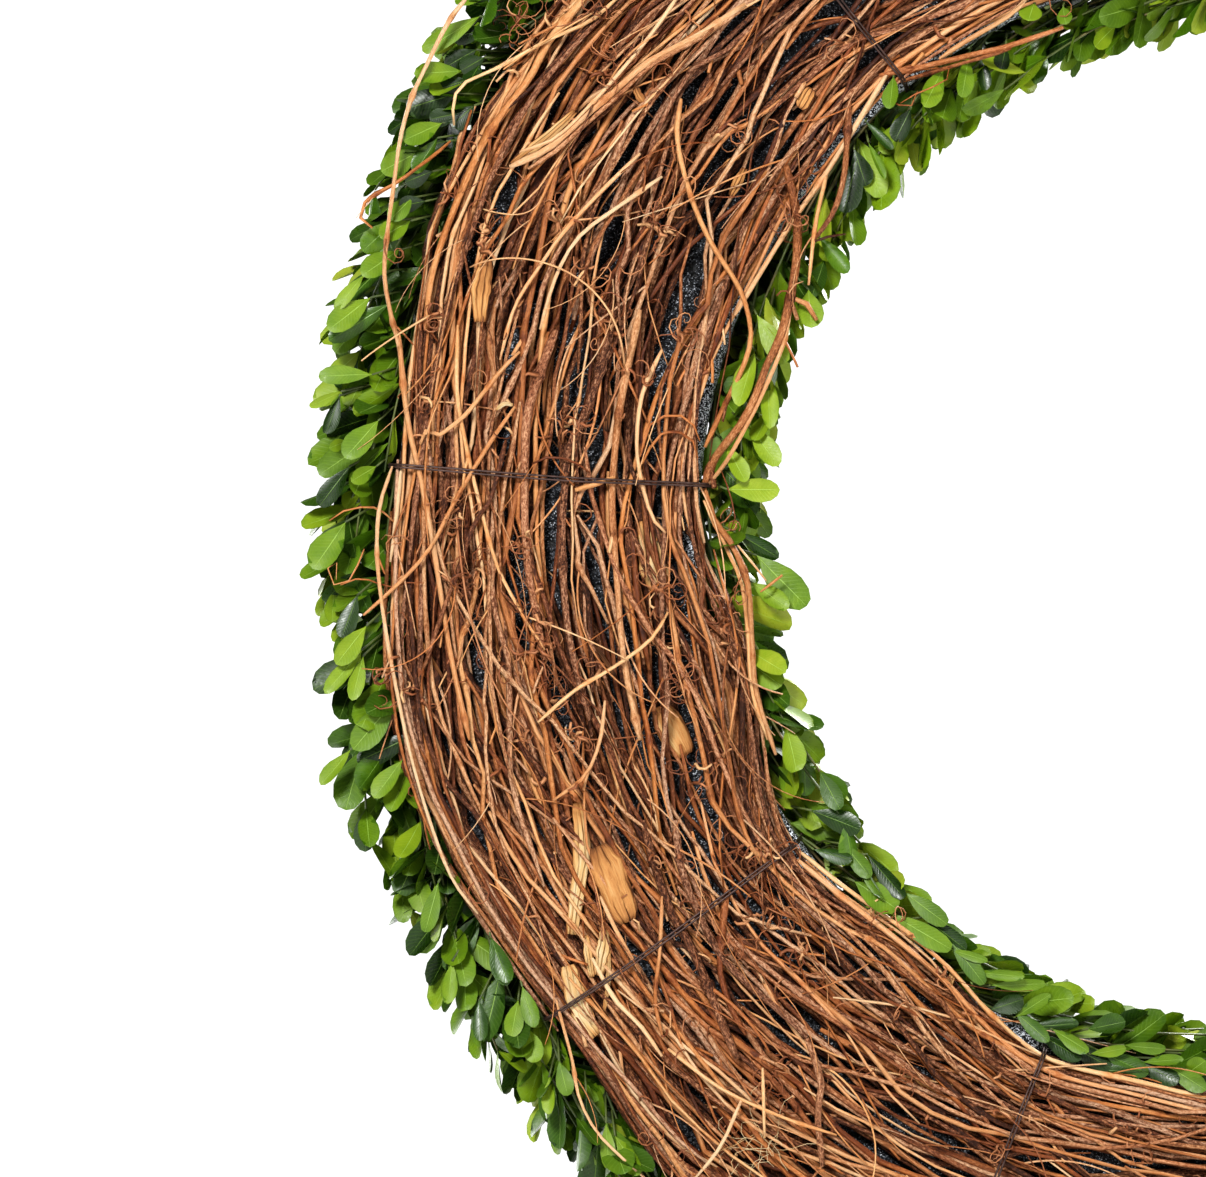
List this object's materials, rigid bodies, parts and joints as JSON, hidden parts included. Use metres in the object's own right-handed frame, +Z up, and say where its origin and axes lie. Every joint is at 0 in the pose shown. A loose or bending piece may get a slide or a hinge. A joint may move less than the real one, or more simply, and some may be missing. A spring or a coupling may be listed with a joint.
{
  "type": "boxwood wreath",
  "caption": "Round hanging boxwood wreath: leafy sprigs swept one way round a foam ring, with vines wired across its flat back and an open centre.",
  "frame": {"origin": "the hook seat, at the top of the ring's centre hole, on the foam's inner face", "axes": "+Z up as it hangs, +Y out of its vine-covered back towards the door or wall, -Y out of its leafy front"},
  "size_m": [0.6072, 0.1034, 0.6061],
  "materials": {
    "foam": "black foam of coarse glossy beads",
    "vine": "dry reddish-brown vine bark, some stems paler",
    "wire": "dark brown lacquered binding wire",
    "leaf": "waxy evergreen leaf, yellow-green to dark green, paler beneath"
  },
  "bodies": {
    "root": {"foam_ring": "foam", "vine_bundle_1": "vine", "vine_bundle_2": "vine", "vine_bundle_3": "vine", "vine_bundle_4": "vine", "vine_bundle_5": "vine", "vine_bundle_6": "vine", "vine_bundle_7": "vine", "vine_bundle_8": "vine", "vine_bundle_9": "vine", "binding_wire_1": "wire", "binding_wire_2": "wire", "binding_wire_3": "wire", "binding_wire_4": "wire", "binding_wire_5": "wire", "binding_wire_6": "wire", "binding_wire_7": "wire", "binding_wire_8": "wire", "binding_wire_9": "wire", "boxwood_outer_1": "leaf", "boxwood_outer_2": "leaf", "boxwood_outer_3": "leaf", "boxwood_outer_4": "leaf", "boxwood_outer_5": "leaf", "boxwood_outer_6": "leaf", "boxwood_outer_7": "leaf", "boxwood_outer_8": "leaf", "boxwood_outer_9": "leaf", "boxwood_outer_10": "leaf", "boxwood_outer_11": "leaf", "boxwood_outer_12": "leaf", "boxwood_outer_13": "leaf", "boxwood_outer_14": "leaf", "boxwood_front_1": "leaf", "boxwood_front_2": "leaf", "boxwood_front_3": "leaf", "boxwood_front_4": "leaf", "boxwood_front_5": "leaf", "boxwood_front_6": "leaf", "boxwood_front_7": "leaf", "boxwood_front_8": "leaf", "boxwood_front_9": "leaf", "boxwood_front_10": "leaf", "boxwood_front_11": "leaf", "boxwood_front_12": "leaf", "boxwood_inner_1": "leaf", "boxwood_inner_2": "leaf", "boxwood_inner_3": "leaf", "boxwood_inner_4": "leaf", "boxwood_inner_5": "leaf", "boxwood_inner_6": "leaf", "boxwood_inner_7": "leaf", "boxwood_inner_8": "leaf", "boxwood_inner_9": "leaf", "boxwood_inner_10": "leaf", "boxwood_inner_11": "leaf"}
  },
  "joints": []
}
